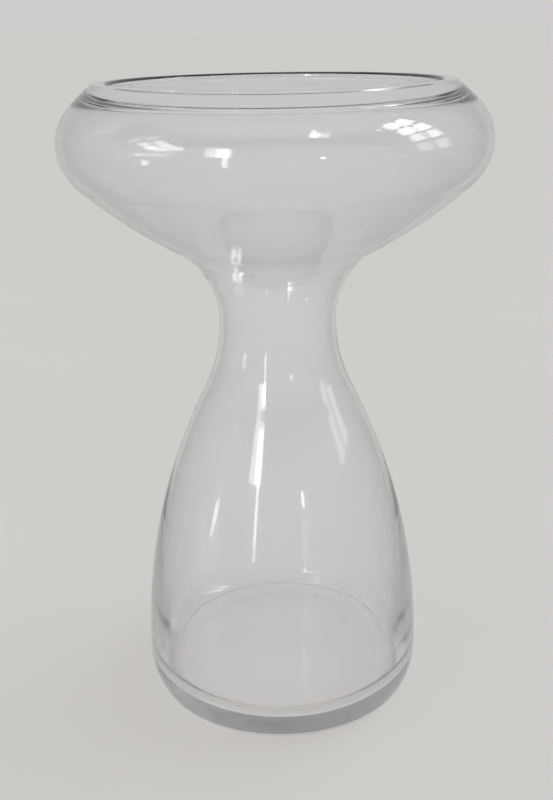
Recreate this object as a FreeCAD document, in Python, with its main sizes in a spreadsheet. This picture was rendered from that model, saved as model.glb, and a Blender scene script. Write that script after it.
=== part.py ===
import FreeCAD, Part
import math
import os

import Sketcher

# Hyacinth forcing vase: one piece of clear blown glass that stands on Z = 0, with its axis on Z.
# Its outside is the form that the mould gives, a smooth chain of arcs that touch each other.
# Its inside is the bubble that the breath gives, with walls of its own: heavy at the base, thin at the
# waist, and thick again at the lip.

# Driving sizes in millimetres, and one share. Each can be changed by itself. The bowl hangs from the lip,
# so a taller or shorter vase holds the same bulb over a longer or shorter reservoir.
SIZES = {
    "height": 280.0,          # from the foot to the top of the lip
    "base_radius": 65.5,      # widest place of the water reservoir
    "base_height": 14.0,      # height of that place above the foot
    "low_round": 27.0,        # outside arc from the heel up to the widest place
    "heel_round": 3.0,        # small round where the side turns under to the foot
    "waist_radius": 26.0,     # narrowest place, which keeps the bulb above the water
    "neck_round": 72.0,       # hollow outside arc below the waist
    "throat_round": 38.0,     # hollow outside arc above the waist, where the bulb sits
    "bowl_radius": 90.3,      # widest place of the bowl
    "bowl_drop": 77.0,        # from the bowl's widest place down to the waist
    "under_round": 215.5,     # long flat arc of the bowl's underside
    "shoulder_drop": 24.0,    # from the top of the lip down to the bowl's widest place
    "shoulder_inset": 15.9,   # how far the lip's outer edge stands in from the widest place
    "equator_share": 0.84,    # arc at the widest place, of the arc that would run on to the lip's edge
    "lip_width": 5.8,         # flat width of the lip, before its edges are rounded
    "lip_collar": 3.2,        # height of the lip's upright inner face
    "lip_round": 1.4,         # fire-polished edges of the lip
    "lip_under_round": 1.8,   # round below the lip's inner face
    "bowl_wall": 2.8,
    "body_wall": 2.0,         # wall of the waist and the upper reservoir
    "base_wall": 6.2,         # wall at the widest place of the reservoir
    "base_blend": 60.0,       # inside arc where the heavy wall of the base thins out
    "floor_height": 8.0,      # top of the solid glass base
    "floor_round": 7.5,       # inside round between the floor and the wall
    "foot_ring": 9.8,         # width of the flat ring that the vase stands on
    "kick_depth": 1.8,        # depth of the shallow hollow inside that ring
}

# Places that follow from the sizes. Each sum is written once, for the sketches and for this file.
BOWL_HEIGHT = "(sizes.height - sizes.shoulder_drop)"
WAIST_HEIGHT = f"({BOWL_HEIGHT} - sizes.bowl_drop)"
LIP_RADIUS = "(sizes.bowl_radius - sizes.shoulder_inset)"
MOUTH_RADIUS = f"({LIP_RADIUS} - sizes.lip_width)"
# half the chord from the widest place to the lip's edge, over the sine of half its turn
RUN_ON_ROUND = "((sizes.shoulder_inset ^ 2 + sizes.shoulder_drop ^ 2) / (2 * sizes.shoulder_inset))"
EQUATOR_ROUND = f"(sizes.equator_share * {RUN_ON_ROUND})"

# the sketcher's numbers for the places of a line or an arc, and for its own axes
_, START, END, CENTRE = range(4)
LEVEL_AXIS, VERTICAL_AXIS = range(-1, -3, -1)
ORIGIN = (LEVEL_AXIS, START)
UP = FreeCAD.Vector(0, 0, 1)
MATCH_SHARE = 1e-6

doc = FreeCAD.newDocument("hyacinth_vase")
sheet = doc.addObject("Spreadsheet::Sheet", "sizes")
for row, (alias, value) in enumerate(SIZES.items(), start=1):
    sheet.set(f"A{row}", alias)
    sheet.set(f"B{row}", str(value))
    sheet.setAlias(f"B{row}", alias)
doc.recompute()


def worked_out(place):
    return sheet.evalExpression(place)


def point(x, y):
    return FreeCAD.Vector(x, y, 0)


def on_circle(circle, angle):
    (x, y), radius = circle
    return point(x + radius * math.cos(angle), y + radius * math.sin(angle))


def bearing(from_point, to_point):
    return math.atan2(to_point[1] - from_point[1], to_point[0] - from_point[0])


def crossing(centre_a, reach_a, centre_b, reach_b):
    """Of the two points that lie reach_a and reach_b from the centres, the one nearer the axis."""
    span = math.dist(centre_a, centre_b)
    along = (reach_a**2 - reach_b**2 + span**2) / (2 * span)
    across = math.sqrt(reach_a**2 - along**2)
    turn = bearing(centre_a, centre_b)
    both = []
    for side in (-1, 1):
        x = centre_a[0] + along * math.cos(turn) - side * across * math.sin(turn)
        y = centre_a[1] + along * math.sin(turn) + side * across * math.cos(turn)
        both.append((x, y))
    return min(both)


def leaving_angle(circle, target):
    """Where a straight line to the target, which lies above the circle, touches its right-hand side."""
    centre, radius = circle
    return bearing(centre, target) - math.acos(radius / math.dist(centre, target))


def new_sketch(body, name):
    sketch = body.newObject("Sketcher::SketchObject", name)
    plane = next(item for item in body.Origin.OriginFeatures if item.Role == "XZ_Plane")
    sketch.AttachmentSupport = (plane, [""])
    sketch.MapMode = "FlatFace"
    return sketch


def add_line(sketch, start, end):
    return sketch.addGeometry(Part.LineSegment(start, end))


def add_arc(sketch, circle, start_angle, end_angle):
    (x, y), radius = circle
    whole = Part.Circle(point(x, y), UP, radius)
    return sketch.addGeometry(Part.ArcOfCircle(whole, start_angle, end_angle))


def tie(sketch, kind, *places):
    return sketch.addConstraint(Sketcher.Constraint(kind, *places))


def measure(sketch, name, expression, kind, *places):
    """Add a dimension and bind it to the sheet. Its first value is the one it has as drawn."""
    if kind == "Radius":
        value = sketch.Geometry[places[0]].Radius
    else:
        value = getattr(sketch.getPoint(*places[2:]) - sketch.getPoint(*places[:2]), kind[-1].lower())
    index = sketch.addConstraint(Sketcher.Constraint(kind, *places, value))
    sketch.renameConstraint(index, name)
    sketch.setExpression(f"Constraints.{name}", expression)


def outside_circles():
    """Circles of the outside chain, each as (centre, radius), worked out so that neighbours touch."""
    waist_height = worked_out(WAIST_HEIGHT)
    equator_round = worked_out(EQUATOR_ROUND)
    low = ((SIZES["base_radius"] - SIZES["low_round"], SIZES["base_height"]), SIZES["low_round"])
    heel_reach = SIZES["low_round"] - SIZES["heel_round"]
    heel_drop = SIZES["base_height"] - SIZES["heel_round"]
    heel_x = low[0][0] + math.sqrt(heel_reach**2 - heel_drop**2)
    heel = ((heel_x, SIZES["heel_round"]), SIZES["heel_round"])
    neck = ((SIZES["waist_radius"] + SIZES["neck_round"], waist_height), SIZES["neck_round"])
    # the side arc is level at the widest place and touches the neck arc from the other side
    across = neck[0][0] - SIZES["base_radius"]
    rise = waist_height - SIZES["base_height"]
    side_round = (across**2 + rise**2 - neck[1]**2) / (2 * (neck[1] - across))
    side = ((SIZES["base_radius"] - side_round, SIZES["base_height"]), side_round)
    throat = ((SIZES["waist_radius"] + SIZES["throat_round"], waist_height), SIZES["throat_round"])
    equator = ((SIZES["bowl_radius"] - equator_round, worked_out(BOWL_HEIGHT)), equator_round)
    under_centre = crossing(
        throat[0], SIZES["throat_round"] + SIZES["under_round"],
        equator[0], SIZES["under_round"] - equator_round)
    under = (under_centre, SIZES["under_round"])
    return heel, low, side, neck, throat, under, equator


def draw_mould_form(body):
    """Half section of the outside, from the middle of the foot round to the middle of the mouth."""
    heel, low, side, neck, throat, under, equator = outside_circles()
    heel_end = bearing(low[0], heel[0])
    side_end = bearing(side[0], neck[0])
    throat_end = bearing(throat[0], under[0])
    under_end = bearing(under[0], equator[0])
    lip_edge = (worked_out(LIP_RADIUS), SIZES["height"])
    shoulder = leaving_angle(equator, lip_edge)

    sketch = new_sketch(body, "mould_form")
    foot = add_line(sketch, point(0, 0), point(heel[0][0], 0))
    heel_arc = add_arc(sketch, heel, -math.pi / 2, heel_end)
    low_arc = add_arc(sketch, low, heel_end, 0)
    side_arc = add_arc(sketch, side, 0, side_end)
    neck_arc = add_arc(sketch, neck, math.pi, math.pi + side_end)
    throat_arc = add_arc(sketch, throat, throat_end, math.pi)
    under_arc = add_arc(sketch, under, throat_end - math.pi, under_end)
    equator_arc = add_arc(sketch, equator, under_end, shoulder)
    shoulder_line = add_line(sketch, on_circle(equator, shoulder), point(*lip_edge))
    top = add_line(sketch, point(*lip_edge), point(0, SIZES["height"]))
    axis = add_line(sketch, point(0, SIZES["height"]), point(0, 0))

    tie(sketch, "Coincident", foot, START, *ORIGIN)
    tie(sketch, "Horizontal", foot)
    tie(sketch, "Tangent", foot, END, heel_arc, START)
    tie(sketch, "Tangent", heel_arc, END, low_arc, START)
    tie(sketch, "Tangent", low_arc, END, side_arc, START)
    tie(sketch, "Tangent", side_arc, END, neck_arc, END)
    tie(sketch, "Tangent", neck_arc, START, throat_arc, END)
    tie(sketch, "Tangent", throat_arc, START, under_arc, START)
    tie(sketch, "Tangent", under_arc, END, equator_arc, START)
    tie(sketch, "Tangent", equator_arc, END, shoulder_line, START)
    tie(sketch, "Coincident", shoulder_line, END, top, START)
    tie(sketch, "Horizontal", top)
    tie(sketch, "Coincident", top, END, axis, START)
    tie(sketch, "Vertical", axis)
    tie(sketch, "Coincident", axis, END, foot, START)
    # the glass is upright at its widest place and at its waist
    tie(sketch, "Horizontal", low_arc, CENTRE, low_arc, END)
    tie(sketch, "Horizontal", throat_arc, CENTRE, throat_arc, END)

    measure(sketch, "heel_round", "sizes.heel_round", "Radius", heel_arc)
    measure(sketch, "low_round", "sizes.low_round", "Radius", low_arc)
    measure(sketch, "neck_round", "sizes.neck_round", "Radius", neck_arc)
    measure(sketch, "throat_round", "sizes.throat_round", "Radius", throat_arc)
    measure(sketch, "under_round", "sizes.under_round", "Radius", under_arc)
    measure(sketch, "equator_round", EQUATOR_ROUND, "Radius", equator_arc)
    measure(sketch, "base_radius", "sizes.base_radius", "DistanceX", *ORIGIN, low_arc, END)
    measure(sketch, "base_height", "sizes.base_height", "DistanceY", *ORIGIN, low_arc, END)
    measure(sketch, "waist_radius", "sizes.waist_radius", "DistanceX", *ORIGIN, throat_arc, END)
    measure(sketch, "bowl_drop", "sizes.bowl_drop", "DistanceY", throat_arc, END, equator_arc, CENTRE)
    measure(sketch, "equator_centre", f"sizes.bowl_radius - {EQUATOR_ROUND}",
            "DistanceX", *ORIGIN, equator_arc, CENTRE)
    measure(sketch, "shoulder_drop", "sizes.shoulder_drop",
            "DistanceY", equator_arc, CENTRE, shoulder_line, END)
    measure(sketch, "lip_radius", LIP_RADIUS, "DistanceX", *ORIGIN, shoulder_line, END)
    measure(sketch, "height", "sizes.height", "DistanceY", *ORIGIN, shoulder_line, END)
    return sketch


def draw_bubble(body, mould_form):
    """Half section of the hollow, from the middle of the floor round to the middle of the mouth."""
    _, _, side, neck, throat, under, equator = outside_circles()
    wall_x = SIZES["base_radius"] - SIZES["base_wall"]
    waist_x = SIZES["waist_radius"] - SIZES["body_wall"]
    inner_side = (side[0], side[1] - SIZES["body_wall"])
    inner_neck = (neck[0], neck[1] + SIZES["body_wall"])
    inner_equator = (equator[0], equator[1] - SIZES["bowl_wall"])
    inner_under = (under[0], under[1] - SIZES["bowl_wall"])
    # the inner throat arc is upright at the waist and touches the inner underside
    ahead = waist_x - under[0][0]
    above = neck[0][1] - under[0][1]
    inner_throat_round = (inner_under[1]**2 - ahead**2 - above**2) / (2 * (ahead - inner_under[1]))
    inner_throat = ((waist_x + inner_throat_round, neck[0][1]), inner_throat_round)
    # the blend arc touches the upright wall of the base and the inner side arc
    blend_x = wall_x - SIZES["base_blend"]
    blend_rise = math.sqrt((inner_side[1] - SIZES["base_blend"])**2 - (blend_x - side[0][0])**2)
    blend = ((blend_x, side[0][1] + blend_rise), SIZES["base_blend"])
    corner = ((wall_x - SIZES["floor_round"], SIZES["floor_height"] + SIZES["floor_round"]), SIZES["floor_round"])
    # the inner shoulder runs straight to the foot of the lip's upright face, and turns up in a round
    collar_foot = (worked_out(MOUTH_RADIUS), SIZES["height"] - SIZES["lip_collar"])
    shoulder = leaving_angle(inner_equator, collar_foot)
    turn_back = SIZES["lip_under_round"] * math.tan(shoulder / 2)
    turn_x = collar_foot[0] + SIZES["lip_under_round"]
    turn = ((turn_x, collar_foot[1] + turn_back), SIZES["lip_under_round"])

    blend_end = bearing(side[0], blend[0])
    side_end = bearing(side[0], neck[0])
    throat_end = bearing(inner_throat[0], under[0])
    under_end = bearing(under[0], equator[0])

    sketch = new_sketch(body, "bubble")
    sketch.addExternal(mould_form.Name, "Edge4")
    sketch.addExternal(mould_form.Name, "Edge5")
    sketch.addExternal(mould_form.Name, "Edge7")
    sketch.addExternal(mould_form.Name, "Edge8")
    outer_side, outer_neck, outer_under, outer_equator = range(-3, -7, -1)

    floor = add_line(sketch, point(0, SIZES["floor_height"]), point(corner[0][0], SIZES["floor_height"]))
    corner_arc = add_arc(sketch, corner, -math.pi / 2, 0)
    wall = add_line(sketch, on_circle(corner, 0), on_circle(blend, 0))
    blend_arc = add_arc(sketch, blend, 0, blend_end)
    side_arc = add_arc(sketch, inner_side, blend_end, side_end)
    neck_arc = add_arc(sketch, inner_neck, math.pi, math.pi + side_end)
    throat_arc = add_arc(sketch, inner_throat, throat_end, math.pi)
    under_arc = add_arc(sketch, inner_under, throat_end - math.pi, under_end)
    equator_arc = add_arc(sketch, inner_equator, under_end, shoulder)
    shoulder_line = add_line(sketch, on_circle(inner_equator, shoulder), on_circle(turn, math.pi + shoulder))
    turn_arc = add_arc(sketch, turn, math.pi, math.pi + shoulder)
    collar = add_line(sketch, on_circle(turn, math.pi), point(collar_foot[0], SIZES["height"]))
    top = add_line(sketch, point(collar_foot[0], SIZES["height"]), point(0, SIZES["height"]))
    axis = add_line(sketch, point(0, SIZES["height"]), point(0, SIZES["floor_height"]))
    collar_mark = sketch.addGeometry(Part.Point(point(*collar_foot)), True)

    tie(sketch, "PointOnObject", floor, START, VERTICAL_AXIS)
    tie(sketch, "Horizontal", floor)
    tie(sketch, "Tangent", floor, END, corner_arc, START)
    tie(sketch, "Tangent", corner_arc, END, wall, START)
    tie(sketch, "Vertical", wall)
    tie(sketch, "Tangent", wall, END, blend_arc, START)
    tie(sketch, "Tangent", blend_arc, END, side_arc, START)
    tie(sketch, "Tangent", side_arc, END, neck_arc, END)
    tie(sketch, "Tangent", neck_arc, START, throat_arc, END)
    tie(sketch, "Tangent", throat_arc, START, under_arc, START)
    tie(sketch, "Tangent", under_arc, END, equator_arc, START)
    tie(sketch, "Tangent", equator_arc, END, shoulder_line, START)
    tie(sketch, "Tangent", shoulder_line, END, turn_arc, END)
    tie(sketch, "Tangent", turn_arc, START, collar, START)
    tie(sketch, "Vertical", collar)
    tie(sketch, "Coincident", collar, END, top, START)
    tie(sketch, "Horizontal", top)
    tie(sketch, "Coincident", top, END, axis, START)
    tie(sketch, "Vertical", axis)
    tie(sketch, "Coincident", axis, END, floor, START)
    # the walls of the side, neck, underside and equator run even with the outside
    tie(sketch, "Coincident", side_arc, CENTRE, outer_side, CENTRE)
    tie(sketch, "Coincident", neck_arc, CENTRE, outer_neck, CENTRE)
    tie(sketch, "Coincident", under_arc, CENTRE, outer_under, CENTRE)
    tie(sketch, "Coincident", equator_arc, CENTRE, outer_equator, CENTRE)
    tie(sketch, "Horizontal", neck_arc, CENTRE, neck_arc, START)
    tie(sketch, "PointOnObject", collar_mark, START, shoulder_line)
    tie(sketch, "PointOnObject", collar_mark, START, collar)

    measure(sketch, "floor_height", "sizes.floor_height", "DistanceY", *ORIGIN, floor, START)
    measure(sketch, "floor_round", "sizes.floor_round", "Radius", corner_arc)
    measure(sketch, "base_inside", "sizes.base_radius - sizes.base_wall", "DistanceX", *ORIGIN, wall, START)
    measure(sketch, "base_blend", "sizes.base_blend", "Radius", blend_arc)
    measure(sketch, "waist_inside", "sizes.waist_radius - sizes.body_wall", "DistanceX", *ORIGIN, neck_arc, START)
    measure(sketch, "equator_inside", f"{EQUATOR_ROUND} - sizes.bowl_wall", "Radius", equator_arc)
    measure(sketch, "lip_under_round", "sizes.lip_under_round", "Radius", turn_arc)
    measure(sketch, "mouth_radius", MOUTH_RADIUS, "DistanceX", *ORIGIN, collar, END)
    measure(sketch, "collar_foot", "sizes.height - sizes.lip_collar", "DistanceY", *ORIGIN, collar_mark, START)
    measure(sketch, "height", "sizes.height", "DistanceY", *ORIGIN, collar, END)
    return sketch


def draw_kick(body, mould_form):
    """Half section of the shallow hollow under the foot, a shell of a large ball."""
    foot_radius = mould_form.getPoint(0, END).x
    radius, depth = foot_radius - SIZES["foot_ring"], SIZES["kick_depth"]
    ball_round = (radius**2 + depth**2) / (2 * depth)
    ball = ((0, depth - ball_round), ball_round)
    sketch = new_sketch(body, "kick")
    sketch.addExternal(mould_form.Name, "Edge1")
    outer_foot = -3
    flat = add_line(sketch, point(0, 0), point(radius, 0))
    arc = add_arc(sketch, ball, bearing(ball[0], (radius, 0)), math.pi / 2)
    axis = add_line(sketch, point(0, depth), point(0, 0))
    tie(sketch, "Coincident", flat, START, *ORIGIN)
    tie(sketch, "Horizontal", flat)
    tie(sketch, "Coincident", flat, END, arc, START)
    tie(sketch, "Coincident", arc, END, axis, START)
    tie(sketch, "PointOnObject", arc, CENTRE, VERTICAL_AXIS)
    tie(sketch, "PointOnObject", arc, END, VERTICAL_AXIS)
    tie(sketch, "Coincident", axis, END, flat, START)
    measure(sketch, "foot_ring", "sizes.foot_ring", "DistanceX", flat, END, outer_foot, END)
    measure(sketch, "kick_depth", "sizes.kick_depth", "DistanceY", *ORIGIN, arc, END)
    return sketch


def turned(body, kind, name, sketch):
    """Turn a half section once round the axis of the vase, as added or as removed glass."""
    before = body.Shape.Volume if body.Tip else 0
    feature = body.newObject(kind, name)
    feature.Profile = sketch
    feature.ReferenceAxis = (sketch, ["V_Axis"])
    feature.Angle = 360
    doc.recompute()
    print(f"{name}: {feature.Shape.Volume - before:+.0f} cubic mm")
    return feature


def circles_at(shape, radius, height):
    """Names of the shape's round edges of this radius that lie at this height."""
    found = []
    for number, edge in enumerate(shape.Edges, start=1):
        # where a surface runs out to a point on the axis, its edge has no curve
        if edge.Degenerated or not isinstance(edge.Curve, Part.Circle):
            continue
        same_radius = math.isclose(edge.Curve.Radius, radius, rel_tol=MATCH_SHARE)
        same_height = math.isclose(edge.Curve.Center.z, height, rel_tol=MATCH_SHARE)
        if same_radius and same_height:
            found.append(f"Edge{number}")
    return found


def build_glass_vase():
    body = doc.addObject("PartDesign::Body", "glass_vase")
    body.Label = "glass_vase"
    body.Placement = FreeCAD.Placement()
    mould_form = draw_mould_form(body)
    turned(body, "PartDesign::Revolution", "blown_form", mould_form)
    turned(body, "PartDesign::Groove", "hollow", draw_bubble(body, mould_form))
    opened = turned(body, "PartDesign::Groove", "kick_up", draw_kick(body, mould_form))
    # the lip's two edges are melted round
    edges = circles_at(opened.Shape, worked_out(LIP_RADIUS), SIZES["height"])
    edges += circles_at(opened.Shape, worked_out(MOUTH_RADIUS), SIZES["height"])
    polished = body.newObject("PartDesign::Fillet", "fire_polish")
    polished.Base = (opened, edges)
    polished.setExpression("Radius", "sizes.lip_round")
    body.Tip = polished
    doc.recompute()
    return body


def check(sub_part):
    for item in doc.Objects:
        if "Invalid" in item.State or "Error" in item.State:
            raise RuntimeError(f"{item.Name} failed: {item.State}")
        if item.TypeId == "Sketcher::SketchObject" and not item.FullyConstrained:
            raise RuntimeError(f"{item.Name} is not fully constrained")
    shape = sub_part.Shape
    if shape.isNull() or not shape.isValid() or len(shape.Solids) != 1:
        raise RuntimeError(f"{sub_part.Label} is not one valid solid")


vase = build_glass_vase()
check(vase)
box = vase.Shape.optimalBoundingBox(False)
print(f"box {box.XMin:.2f} {box.YMin:.2f} {box.ZMin:.2f} to {box.XMax:.2f} {box.YMax:.2f} {box.ZMax:.2f}")
print(f"glass {vase.Shape.Volume:.0f} cubic mm")

os.makedirs("parts", exist_ok=True)
vase.Shape.exportStep(f"parts/{vase.Label}.step")
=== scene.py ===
# %% [markdown]
# A hyacinth forcing vase in clear blown glass: a wide squashed bowl for the bulb, a waist that holds the bulb
# above the water, and a tall reservoir on a thick base. The CAD model is the frame. Here the same glass is
# made again as one fine, slightly uneven skin, because light that bends through a wall shows every facet.

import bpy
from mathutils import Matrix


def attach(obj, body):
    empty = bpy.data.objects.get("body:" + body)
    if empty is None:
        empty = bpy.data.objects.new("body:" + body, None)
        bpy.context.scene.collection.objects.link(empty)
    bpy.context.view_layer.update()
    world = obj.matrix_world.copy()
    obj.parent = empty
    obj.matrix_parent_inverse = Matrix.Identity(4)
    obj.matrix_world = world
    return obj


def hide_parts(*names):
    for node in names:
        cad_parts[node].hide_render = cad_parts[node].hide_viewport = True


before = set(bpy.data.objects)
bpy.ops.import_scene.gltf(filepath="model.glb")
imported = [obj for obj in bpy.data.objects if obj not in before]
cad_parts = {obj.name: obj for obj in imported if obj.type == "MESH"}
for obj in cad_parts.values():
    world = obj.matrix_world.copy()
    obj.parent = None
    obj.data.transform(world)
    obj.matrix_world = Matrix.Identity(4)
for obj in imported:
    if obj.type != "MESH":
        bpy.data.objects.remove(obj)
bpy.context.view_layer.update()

import math

import bpy
from mathutils import Matrix, Vector

# %% [markdown]
# Blown glass takes its outside from the mould and its inside from the breath. So the outside is a chain of
# arcs that touch, and the inside is a second chain with walls of its own: heavy at the base, thin at the
# waist, thick again at the lip. Both chains are worked out here from a maker's sizes, in metres, and then
# read off as points that lie close together where the glass bends tightly.

# %% sizes of the outside
HEIGHT = 0.280
BASE_RADIUS = 0.0655
BASE_HEIGHT = 0.014
LOW_ROUND = 0.027
HEEL_ROUND = 0.003
FOOT_RING = 0.0098
KICK_DEPTH = 0.0018
WAIST_RADIUS = 0.026
NECK_ROUND = 0.072
THROAT_ROUND = 0.038
BOWL_RADIUS = 0.0903
BOWL_DROP = 0.077
UNDER_ROUND = 0.2155
EQUATOR_SHARE = 0.84
SHOULDER_DROP = 0.024
SHOULDER_INSET = 0.0159
print("vase", HEIGHT, "m tall,", 2 * BOWL_RADIUS, "m across the bowl,", 2 * BASE_RADIUS, "m across the base")

# %% sizes of the lip and the walls
LIP_WIDTH = 0.0058
LIP_COLLAR = 0.0032
LIP_ROUND = 0.0014
LIP_UNDER_ROUND = 0.0018
BOWL_WALL = 0.0028
BODY_WALL = 0.0020
BASE_WALL = 0.0062
BASE_BLEND = 0.220
FLOOR_HEIGHT = 0.008
FLOOR_RADIUS = 0.052
FLOOR_RISE = math.radians(25)
print("clear at the waist", round(2 * (WAIST_RADIUS - BODY_WALL), 4), "m")

# %% how closely the points lie
FINEST_TURN = math.radians(4)
LONGEST_STEP = 0.0035
RIPPLE_STEPS = 3
SAME_PLACE = 1e-6
SLICES = 240


def bearing(start, end):
    return math.atan2(end[1] - start[1], end[0] - start[0])


def on_arc(arc, angle):
    """The point of an arc, given as its centre and radius, at an angle."""
    (x, z), radius = arc
    return (x + radius * math.cos(angle), z + radius * math.sin(angle))


def along(arc, start, end, closer=1):
    """Points of an arc, close enough for a smooth bend, and closer still where ripples run over it."""
    turns = math.ceil(abs(end - start) / FINEST_TURN)
    lengths = math.ceil(abs(end - start) * arc[1] / LONGEST_STEP)
    steps = max(2, turns, lengths) * closer
    return [on_arc(arc, start + (end - start) * step / steps) for step in range(steps + 1)]


def straight(start, end):
    steps = max(1, math.ceil(math.dist(start, end) / LONGEST_STEP))
    x, z = start
    wide = end[0] - x
    tall = end[1] - z
    return [(x + wide * step / steps, z + tall * step / steps) for step in range(steps + 1)]


print("a point every", round(math.degrees(FINEST_TURN)), "degrees of a bend, and", SLICES, "slices round")

# %% [markdown]
# The lip was cut, and the flame melts its edges round. A melted corner becomes an arc that touches both
# sides. Just under the lip, the wall of the bowl leaves its arc in a straight line. A Bevel modifier could
# round the lip too, but in the section each edge keeps a radius of its own.


# %% corners and straight ends
def leaving(arc, target):
    """Where a straight line to a target above the arc leaves its right-hand side."""
    return bearing(arc[0], target) - math.acos(arc[1] / math.dist(arc[0], target))


def melted(before, corner, after, radius):
    """A corner rounded in the flame."""
    to_before = bearing(corner, before)
    to_after = bearing(corner, after)
    opening = math.remainder(to_after - to_before, math.tau)
    centre = on_arc((corner, radius / math.sin(abs(opening) / 2)), to_before + opening / 2)
    back = radius / math.tan(abs(opening) / 2)
    start = bearing(centre, on_arc((corner, back), to_before))
    end = bearing(centre, on_arc((corner, back), to_after))
    return along((centre, radius), start, start + math.remainder(end - start, math.tau))


# %% chain of the outside
bowl_height = HEIGHT - SHOULDER_DROP
waist_height = bowl_height - BOWL_DROP
lip_edge = (BOWL_RADIUS - SHOULDER_INSET, HEIGHT)

low = ((BASE_RADIUS - LOW_ROUND, BASE_HEIGHT), LOW_ROUND)
heel_reach = math.sqrt((LOW_ROUND - HEEL_ROUND)**2 - (BASE_HEIGHT - HEEL_ROUND)**2)
heel = ((low[0][0] + heel_reach, HEEL_ROUND), HEEL_ROUND)
kick_radius = heel[0][0] - FOOT_RING
kick_round = (kick_radius**2 + KICK_DEPTH**2) / (2 * KICK_DEPTH)
kick = ((0, KICK_DEPTH - kick_round), kick_round)

neck = ((WAIST_RADIUS + NECK_ROUND, waist_height), NECK_ROUND)
neck_across = neck[0][0] - BASE_RADIUS
neck_rise = waist_height - BASE_HEIGHT
side_round = (neck_across**2 + neck_rise**2 - NECK_ROUND**2) / (2 * (NECK_ROUND - neck_across))
side = ((BASE_RADIUS - side_round, BASE_HEIGHT), side_round)

throat = ((WAIST_RADIUS + THROAT_ROUND, waist_height), THROAT_ROUND)
equator_round = EQUATOR_SHARE * (SHOULDER_INSET**2 + SHOULDER_DROP**2) / (2 * SHOULDER_INSET)
equator = ((BOWL_RADIUS - equator_round, bowl_height), equator_round)
# the long arc of the underside touches the throat's arc and the equator's
span = math.dist(throat[0], equator[0])
reach = THROAT_ROUND + UNDER_ROUND
forward = (reach**2 - (UNDER_ROUND - equator_round)**2 + span**2) / (2 * span)
turn = bearing(throat[0], equator[0]) + math.acos(forward / reach)
under = (on_arc((throat[0], reach), turn), UNDER_ROUND)
print("radius of the side", round(side_round, 4), "m, and of the equator", round(equator_round, 4), "m")

# %% chain of the hollow
inner_side = (side[0], side[1] - BODY_WALL)
inner_neck = (neck[0], neck[1] + BODY_WALL)
inner_under = (under[0], under[1] - BOWL_WALL)
inner_equator = (equator[0], equator[1] - BOWL_WALL)

waist_inside = WAIST_RADIUS - BODY_WALL
ahead = waist_inside - under[0][0]
above = waist_height - under[0][1]
inner_throat_round = (inner_under[1]**2 - ahead**2 - above**2) / (2 * (ahead - inner_under[1]))
inner_throat = ((waist_inside + inner_throat_round, waist_height), inner_throat_round)

# a long arc thins the wall from the base to the side
wall_inside = BASE_RADIUS - BASE_WALL
blend_x = wall_inside - BASE_BLEND
blend_rise = math.sqrt((inner_side[1] - BASE_BLEND)**2 - (blend_x - side[0][0])**2)
blend = ((blend_x, BASE_HEIGHT + blend_rise), BASE_BLEND)
# the floor turns up at a faint crease, which shows as a thin ring from above
corner_round = (wall_inside - FLOOR_RADIUS) / (1 - math.sin(FLOOR_RISE))
corner = ((wall_inside - corner_round, FLOOR_HEIGHT + corner_round * math.cos(FLOOR_RISE)), corner_round)

mouth_edge = (lip_edge[0] - LIP_WIDTH, HEIGHT)
collar_foot = (mouth_edge[0], HEIGHT - LIP_COLLAR)
print("the throat turns inside on a radius of", round(inner_throat_round, 4), "m")

# %% the half section
heel_end = bearing(low[0], heel[0])
side_end = bearing(side[0], neck[0])
throat_end = bearing(throat[0], under[0])
under_end = bearing(under[0], equator[0])
shoulder_end = leaving(equator, lip_edge)
inner_shoulder_end = leaving(inner_equator, collar_foot)
inner_throat_end = bearing(inner_throat[0], under[0])
blend_end = bearing(side[0], blend[0])


def outside():
    """From the middle of the foot, up the outside to the far edge of the lip."""
    return [
        along(kick, math.pi / 2, bearing(kick[0], (kick_radius, 0))),
        straight((kick_radius, 0), (heel[0][0], 0)),
        along(heel, -math.pi / 2, heel_end),
        along(low, heel_end, 0),
        along(side, 0, side_end),
        along(neck, math.pi + side_end, math.pi),
        along(throat, math.pi, throat_end),
        along(under, throat_end - math.pi, under_end),
        along(equator, under_end, shoulder_end),
        melted(on_arc(equator, shoulder_end), lip_edge, mouth_edge, LIP_ROUND),
    ]


def hollow():
    """From the near edge of the lip, down the inside to the middle of the floor."""
    return [
        melted(lip_edge, mouth_edge, collar_foot, LIP_ROUND),
        melted(mouth_edge, collar_foot, on_arc(inner_equator, inner_shoulder_end), LIP_UNDER_ROUND),
        along(inner_equator, inner_shoulder_end, under_end),
        along(inner_under, under_end, inner_throat_end - math.pi),
        along(inner_throat, inner_throat_end, math.pi, closer=RIPPLE_STEPS),
        along(inner_neck, math.pi, math.pi + side_end),
        along(inner_side, side_end, blend_end),
        along(blend, blend_end, 0),
        straight((wall_inside, blend[0][1]), (wall_inside, corner[0][1])),
        along(corner, 0, FLOOR_RISE - math.pi / 2),
        straight((FLOOR_RADIUS, FLOOR_HEIGHT), (0, FLOOR_HEIGHT)),
    ]


def joined(runs):
    """One row of points, each place once."""
    points = [point for run in runs for point in run]
    pairs = zip(points[1:], points)
    return points[:1] + [point for point, last in pairs if math.dist(point, last) > SAME_PLACE]


section = joined(outside() + hollow())
print("half section", len(section), "points")

# %% [markdown]
# The lathe turns the section once round the axis. A Screw modifier could do the same, but the spin gives
# real points at once, which the next step moves. Doubles on the seam and on the axis are merged before the
# normals are made to agree, so that the skin is one closed body with an inside that light can find.


# %% turn the glass
def edit(piece):
    """Only this piece, opened for editing, with all its points selected."""
    bpy.ops.object.select_all(action="DESELECT")
    piece.select_set(True)
    bpy.context.view_layer.objects.active = piece
    bpy.ops.object.mode_set(mode="EDIT")
    bpy.ops.mesh.select_mode(type="VERT")
    bpy.ops.mesh.select_all(action="SELECT")


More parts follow.
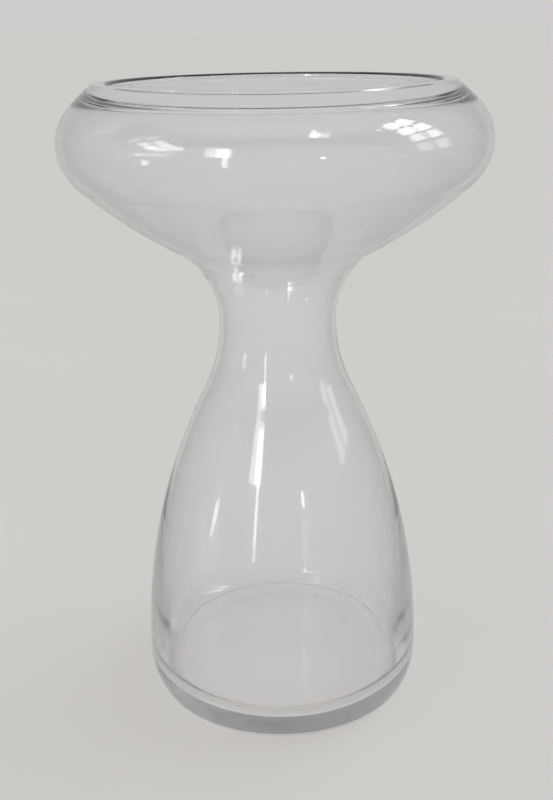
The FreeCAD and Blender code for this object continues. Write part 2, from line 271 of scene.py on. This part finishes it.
def turn_glass(points):
    mesh = bpy.data.meshes.new("glass_skin")
    mesh.from_pydata([(x, 0, z) for x, z in points], [(n, n + 1) for n in range(len(points) - 1)], [])
    piece = bpy.data.objects.new("glass_skin", mesh)
    bpy.context.collection.objects.link(piece)
    edit(piece)
    bpy.ops.mesh.spin(steps=SLICES, angle=math.tau, center=(0, 0, 0), axis=(0, 0, 1))
    bpy.ops.mesh.select_all(action="SELECT")
    bpy.ops.mesh.remove_doubles(threshold=SAME_PLACE)
    bpy.ops.mesh.normals_make_consistent(inside=False)
    bpy.ops.object.mode_set(mode="OBJECT")
    bpy.ops.object.shade_smooth()
    return piece


vase = turn_glass(section)
print("turned", len(vase.data.vertices), "points,", len(vase.data.polygons), "faces")

# %% [markdown]
# Breath and flame leave the glass a little uneven inside: fine upright waves in the thick base, a slow swing
# in the wall above it, and ripples that run round the throat, where the glass was squeezed. A bump in the
# material would only tilt the shine, and these have to make the dark lines in the heel and the throat wander,
# so they are real shape, each far thinner than the wall. Every one is a Displace modifier, held to its own
# height by a vertex group, and applied.


# %% unevenness
FADE_SHARE = 0.25


def hold_to_height(piece, name, low_end, high_end):
    """A vertex group of the inside of the glass between two heights, which fades at its ends."""
    group = piece.vertex_groups.new(name=name)
    fade = (high_end - low_end) * FADE_SHARE
    for vertex in piece.data.vertices:
        x, y, z = vertex.co
        inside = vertex.normal.x * x + vertex.normal.y * y < 0
        weight = min((z - low_end) / fade, (high_end - z) / fade, 1)
        if inside and weight > 0:
            group.add([vertex.index], weight, "REPLACE")


def uneven(piece, name, amount, wave, stretch, low_end, high_end):
    """Push the inside of the glass in and out. A stretch above 1 makes upright waves, below 1 level ones."""
    hold_to_height(piece, name, low_end, high_end)
    clouds = bpy.data.textures.new(name, "CLOUDS")
    clouds.noise_scale = wave
    guide = bpy.data.objects.new(name + "_guide", None)
    guide.scale = (1, 1, stretch)
    bpy.context.collection.objects.link(guide)
    push = piece.modifiers.new(name, "DISPLACE")
    push.texture = clouds
    push.texture_coords = "OBJECT"
    push.texture_coords_object = guide
    push.vertex_group = name
    push.mid_level = 0.5
    push.strength = amount
    bpy.context.view_layer.update()
    bpy.context.view_layer.objects.active = piece
    bpy.ops.object.modifier_apply(modifier=name)
    bpy.data.objects.remove(guide)
    print(name, "within", amount / 2, "m of the smooth wall")


uneven(vase, "heel_waves", amount=0.00009, wave=0.006, stretch=3.0, low_end=0.019, high_end=0.085)
uneven(vase, "wall_swing", amount=0.00015, wave=0.030, stretch=2.0, low_end=0.080, high_end=0.272)
uneven(vase, "throat_ripples", amount=0.00028, wave=0.070, stretch=0.06, low_end=0.192, high_end=0.224)

# %% set the glass on the frame
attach(vase, "root")
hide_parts("glass_vase")
print("the skin takes the place of the CAD glass")

# %% [markdown]
# A material is a sum of small nodes. The class below wraps a socket or a number, so that the sums can be
# written as sums, with short words for what is needed often: clouds, a ramp and a mix of two colours.


# %% shader sums
class Sock:
    """A shader socket or a number that can be added and multiplied."""

    def __init__(self, tree, value):
        self.tree = tree
        self.value = value

    def plug(self, item, place):
        value = item.value if isinstance(item, Sock) else item
        if isinstance(value, bpy.types.NodeSocket):
            self.tree.links.new(value, place)
        else:
            place.default_value = value

    def node(self, kind, output=0, inputs=(), **settings):
        """Any node, with its inputs by name, and the output asked for."""
        made = self.tree.nodes.new(kind)
        for name, value in settings.items():
            setattr(made, name, value)
        for name, value in dict(inputs).items():
            self.plug(value, made.inputs[name])
        return Sock(self.tree, made.outputs[output])

    def maths(self, operation, *others):
        items = dict(enumerate((self, *others)))
        return self.node("ShaderNodeMath", 0, items, operation=operation)

    def part(self, axis):
        """One of the three numbers of a place."""
        return self.node("ShaderNodeSeparateXYZ", axis, {"Vector": self})

    def noise(self, scale, detail):
        """Clouds at this place."""
        return self.node("ShaderNodeTexNoise", 0, {"Vector": self, "Scale": scale, "Detail": detail})

    def ramp(self, start, end, kind="LINEAR"):
        """0 at the start, 1 at the end, and never beyond."""
        inputs = {"Value": self, "From Min": start, "From Max": end}
        return self.node("ShaderNodeMapRange", 0, inputs, interpolation_type=kind)

    def tint(self, none, full):
        """One colour where this is 0, and another where it is 1."""
        return self.node("ShaderNodeMix", 2, {"Factor": self, 6: none, 7: full}, data_type="RGBA")

    def __add__(self, other):
        return self.maths("ADD", other)

    def __mul__(self, other):
        return self.maths("MULTIPLY", other)

    def __rsub__(self, other):
        return Sock(self.tree, other).maths("SUBTRACT", self)


def new_material(name):
    material = bpy.data.materials.new(name)
    material.use_nodes = True
    material.node_tree.nodes.clear()
    return material, Sock(material.node_tree, 0)


# %% [markdown]
# Clear glass is the light that it bends, so the material is nearly nothing: full transmission and the bend of
# soda glass. A faint grey shows where the glass is deep, as in the base. Where it is seen edge-on, a dark
# grey is painted into its colour, as painted shade along the edges.
# The skin's roughness varies a little, as on a washed vase, and the foot is ground and worn by the tables
# that it stood on. Lamplight passes as through a thin film, so that the floor under it stays pale. A plain
# Glass node would do for the skin too, but the Principled one comes through the export.

# %% colours of the glass
GLASS_BEND = 1.5
CLEAR = (0.995, 0.995, 0.998, 1)
# painted shade: the colour of the glass where it is seen edge-on
EDGE_PAINTED_SHADE = (0.18, 0.18, 0.19, 1)
DEEP = (0.80, 0.80, 0.81, 1)
DEEP_STRENGTH = 21.0
FILM_CLEAR = (1.0, 1.0, 1.0, 1)
FILM_EDGE = (0.85, 0.83, 0.80, 1)
EDGE_BLEND = 0.30
FILM_BLEND = 0.35
WASHED = 0.08
WORN = 0.16
FOOT_EDGE = 0.0024
FOOT_FACE = 0.0019
GROUND_DEPTH = 0.00015


# %% skin of the glass
def glass_skin(sock):
    place = sock.node("ShaderNodeTexCoord", "Object")
    foot = place.part("Z").ramp(FOOT_EDGE, FOOT_FACE)
    worn = place.noise(scale=70.0, detail=3.0).ramp(0.46, 0.60)
    grain = place.noise(scale=190.0, detail=4.0)
    ground = sock.node("ShaderNodeBump", 0, {
        "Height": grain * foot,
        "Strength": 1.0,
        "Distance": GROUND_DEPTH})
    smear = place.noise(scale=60.0, detail=3.0)
    edge_shade_mask = sock.node("ShaderNodeLayerWeight", "Facing", {"Blend": EDGE_BLEND})
    return sock.node("ShaderNodeBsdfPrincipled", 0, {
        # painted shade: the glass colour turns dark grey where it is seen edge-on
        "Base Color": (edge_shade_mask * edge_shade_mask).tint(CLEAR, EDGE_PAINTED_SHADE),
        "Transmission Weight": 1.0,
        "IOR": GLASS_BEND,
        "Roughness": smear * WASHED + foot * worn * WORN,
        "Normal": ground})


# %% film for lamplight
def glass_film(sock):
    """What lamplight goes through on its way to the floor, a little darker along the edges."""
    facing = sock.node("ShaderNodeLayerWeight", "Facing", {"Blend": FILM_BLEND})
    return sock.node("ShaderNodeBsdfTransparent", 0, {"Color": facing.tint(FILM_CLEAR, FILM_EDGE)})


# %% clear glass
def clear_glass():
    """Glass to the eye and to mirrored light, open air to the light of the room, a film to lamplight."""
    material, sock = new_material("clear_glass")
    shadow = sock.node("ShaderNodeLightPath", "Is Shadow Ray")
    bounce = sock.node("ShaderNodeLightPath", "Is Diffuse Ray")
    open_air = sock.node("ShaderNodeBsdfTransparent")
    skin = sock.node("ShaderNodeMixShader", 0, {0: bounce, 1: glass_skin(sock), 2: open_air})
    skin = sock.node("ShaderNodeMixShader", 0, {0: shadow, 1: skin, 2: glass_film(sock)})
    depth = sock.node("ShaderNodeVolumeAbsorption", 0, {"Color": DEEP, "Density": DEEP_STRENGTH})
    out = material.node_tree.nodes.new("ShaderNodeOutputMaterial")
    sock.plug(skin, out.inputs["Surface"])
    sock.plug(depth, out.inputs["Volume"])
    return material


vase.data.materials.append(clear_glass())
print("clear glass of", len(vase.data.materials[0].node_tree.nodes), "nodes")

# %% [markdown]
# The vase stands on a pale cloth. The floor is one wide, plain sheet with a trace of cloud in its tone. Under
# the base its colour is painted paler, a painted pool of light where a thick glass gathers light that the
# renderer doesn't follow.

# %% floor
FLOOR_ACROSS = 400
CLOTH_DIM = (0.79, 0.78, 0.765, 1)
CLOTH_PALE = (0.83, 0.82, 0.805, 1)
# painted pool of light: the cloth's colour under the base
CLOTH_PAINTED_POOL = (0.90, 0.89, 0.875, 1)
PAINTED_POOL_FROM = 0.064
PAINTED_POOL_TO = 0.050


def pale_floor():
    bpy.ops.mesh.primitive_plane_add(size=FLOOR_ACROSS, location=(0, 0, 0))
    floor = bpy.context.object
    floor.name = "floor"
    material, sock = new_material("pale_cloth")
    place = sock.node("ShaderNodeTexCoord", "Object")
    colour = place.noise(scale=5.0, detail=2.0).tint(CLOTH_DIM, CLOTH_PALE)
    out_from_middle = sock.node("ShaderNodeVectorMath", 1, {0: place}, operation="LENGTH")
    # painted pool of light: the cloth is painted paler under the base
    colour = out_from_middle.ramp(PAINTED_POOL_FROM, PAINTED_POOL_TO).tint(colour, CLOTH_PAINTED_POOL)
    cloth = sock.node("ShaderNodeBsdfPrincipled", 0, {
        "Base Color": colour,
        "Roughness": 0.9,
        "Specular IOR Level": 0.1})
    sock.plug(cloth, material.node_tree.nodes.new("ShaderNodeOutputMaterial").inputs["Surface"])
    floor.data.materials.append(material)
    print("floor", FLOOR_ACROSS, "m across")


pale_floor()

# %% [markdown]
# Clear glass shows only the room that it bends and mirrors. A room that is pale all over would leave it
# nearly unseen, so this one is pale low down and overhead with a dark zone between, and that difference draws
# the edges. Behind the vase it stays pale, apart from one greyer patch that shades the middle of the bowl.
# The camera itself sees one plain pale tone, which meets the floor's. Walls could be built for this, but a
# few ramps of direction do it with nothing to hide.

# %% room
ROOM_PALE = (0.62, 0.61, 0.60, 1)
ROOM_DARK = (0.12, 0.12, 0.125, 1)
# a direction has an upward part, 0 where it is level and 1 straight up, and so for the other two
ZONE_FOOT = (0.22, 0.60)
ZONE_TOP = (0.66, 0.84)
BEHIND = (0.0, 0.3)
PATCH_FOOT = (0.38, 0.46)
PATCH_TOP = (0.68, 0.58)
PATCH_SIDE = (0.40, 0.20)
PATCH_SHARE = 0.55


def dark_zone(place):
    """How dark the room is in a direction, from its upward, backward and sideways parts."""
    up = place.part("Z")
    aside = place.part("X").maths("ABSOLUTE")
    above_wall = up.ramp(*ZONE_FOOT, "SMOOTHSTEP")
    ceiling = up.ramp(*ZONE_TOP, "SMOOTHSTEP")
    behind = place.part("Y").ramp(*BEHIND, "SMOOTHSTEP")
    patch = up.ramp(*PATCH_FOOT, "SMOOTHSTEP") * up.ramp(*PATCH_TOP, "SMOOTHSTEP")
    patch = patch * aside.ramp(*PATCH_SIDE, "SMOOTHSTEP") * PATCH_SHARE
    return above_wall * (1 - ceiling) * (1 - behind * (1 - patch))


def pale_room():
    world = bpy.data.worlds.new("room")
    bpy.context.scene.world = world
    world.use_nodes = True
    world.node_tree.nodes.clear()
    sock = Sock(world.node_tree, 0)
    light = dark_zone(sock.node("ShaderNodeTexCoord", "Generated")).tint(ROOM_PALE, ROOM_DARK)
    colour = sock.node("ShaderNodeLightPath", "Is Camera Ray").tint(light, ROOM_PALE)
    shine = sock.node("ShaderNodeBackground", 0, {"Color": colour, "Strength": 1.0})
    sock.plug(shine, world.node_tree.nodes.new("ShaderNodeOutputWorld").inputs["Surface"])
    print("room of", len(world.node_tree.nodes), "nodes")


pale_room()

# %% [markdown]
# Daylight comes in evenly from the right and behind, and two windows stand in the room: a broad one with
# panes on the right, and a tall narrow one behind the camera on the left. Each bright streak on the glass is
# one of them, mirrored in a near wall or a far one. A low pane on the left and a small one behind the camera
# give the short glints lower down. The windows could be painted on the room, but area lamps keep sharp
# edges with less noise. They show in the glass and don't light the cloth.

# %% windows
RIGHT_DISTANCE = 1.5
RIGHT_AZIMUTH = 95
RIGHT_PANE_WIDE = 0.25
RIGHT_PANE_APART = 0.165
LEFT_DISTANCE = 2.0
DAYLIGHT_SPREAD = math.radians(50)


def pane(name, distance, azimuth, height, wide, tall, radiance, sideways=0):
    """One lit pane that stands upright and faces the vase. Azimuth turns from +Y towards +X."""
    turn_to = math.radians(azimuth)
    place = Vector((math.sin(turn_to), math.cos(turn_to), 0)) * distance
    place += Vector((math.cos(turn_to), -math.sin(turn_to), 0)) * sideways
    place.z = height
    bpy.ops.object.light_add(type="AREA", location=place)
    lamp = bpy.context.object
    lamp.name = name
    lamp.rotation_euler = (math.radians(-90), 0, -turn_to)
    lamp.data.shape = "RECTANGLE"
    lamp.data.size = wide
    lamp.data.size_y = tall
    lamp.data.energy = radiance * math.pi * wide * tall
    lamp.visible_camera = False
    lamp.visible_diffuse = False


def right_row(row, height, tall, radiance):
    """Two panes side by side."""
    for column in (-1, 1):
        name = f"right_pane_{row}_{column + 1}"
        apart = RIGHT_PANE_APART * column
        pane(name, RIGHT_DISTANCE, RIGHT_AZIMUTH, height, RIGHT_PANE_WIDE, tall, radiance, sideways=apart)


def overcast(azimuth, elevation, strength):
    """Broad even daylight. It lights the cloth and leaves no mark of its own on the glass."""
    bpy.ops.object.light_add(type="SUN")
    lamp = bpy.context.object
    lamp.name = "daylight"
    turn_to = math.radians(azimuth)
    lift = math.radians(elevation)
    flat = math.cos(lift)
    towards = Vector((math.sin(turn_to) * flat, math.cos(turn_to) * flat, math.sin(lift)))
    lamp.rotation_euler = towards.to_track_quat("Z", "Y").to_euler()
    lamp.data.energy = strength
    lamp.data.angle = DAYLIGHT_SPREAD
    lamp.visible_glossy = False
    lamp.visible_transmission = False


right_row(0, height=0.52, tall=0.30, radiance=1.5)
right_row(1, height=0.92, tall=0.28, radiance=4)
right_row(2, height=1.30, tall=0.32, radiance=8)
right_row(3, height=1.78, tall=0.42, radiance=8)
pane("left_window", LEFT_DISTANCE, azimuth=-152, height=0.94, wide=0.46, tall=0.60, radiance=3)
pane("left_window_middle", LEFT_DISTANCE, azimuth=-154.5, height=0.90, wide=0.20, tall=0.50, radiance=6)
pane("left_slit", LEFT_DISTANCE, azimuth=-156, height=0.56, wide=0.09, tall=1.08, radiance=5)
overcast(azimuth=60, elevation=50, strength=1.09)
pane("low_left_pane", LEFT_DISTANCE, azimuth=-114, height=0.14, wide=0.11, tall=0.26, radiance=5)
pane("small_pane", LEFT_DISTANCE, azimuth=157, height=0.52, wide=0.07, tall=0.12, radiance=9)

# %% [markdown]
# The camera is the photograph's own, worked out from the outline: close, from just above the rim, looking
# down by 20.6 degrees and tilted by about one.

# %% camera
EYE = (0.00013, -0.426489, 0.299617)
PITCH = math.radians(20.581)
YAW = math.radians(-0.167)
ROLL = math.radians(-0.942)
SENSOR = 36
LENS = 44.551

ahead_of = Vector((math.sin(YAW) * math.cos(PITCH), math.cos(YAW) * math.cos(PITCH), -math.sin(PITCH)))
level = Vector((math.cos(YAW), -math.sin(YAW), 0))
upward = level.cross(ahead_of)
right = math.cos(ROLL) * level + math.sin(ROLL) * upward
top = -math.sin(ROLL) * level + math.cos(ROLL) * upward
facing_way = Matrix((right, top, -ahead_of)).transposed().to_4x4()

bpy.ops.object.camera_add()
camera = bpy.context.object
camera.matrix_world = Matrix.Translation(EYE) @ facing_way
camera.data.sensor_fit = "VERTICAL"
camera.data.sensor_width = SENSOR
camera.data.sensor_height = SENSOR
camera.data.lens = LENS
bpy.context.scene.camera = camera
print("camera", round(Vector(EYE).length, 3), "m from the middle of the foot")

# %% [markdown]
# Light has to cross many walls of glass before it reaches the camera, so it is allowed many turns. Caustics
# stay off, because a few samples of them would only be sparks.

# %% view and light paths
scene = bpy.context.scene
scene.view_settings.view_transform = "Standard"
scene.cycles.max_bounces = 40
scene.cycles.transmission_bounces = 32
scene.cycles.glossy_bounces = 16
scene.cycles.transparent_max_bounces = 32
scene.cycles.caustics_reflective = False
scene.cycles.caustics_refractive = False
print("light may turn", scene.cycles.max_bounces, "times")
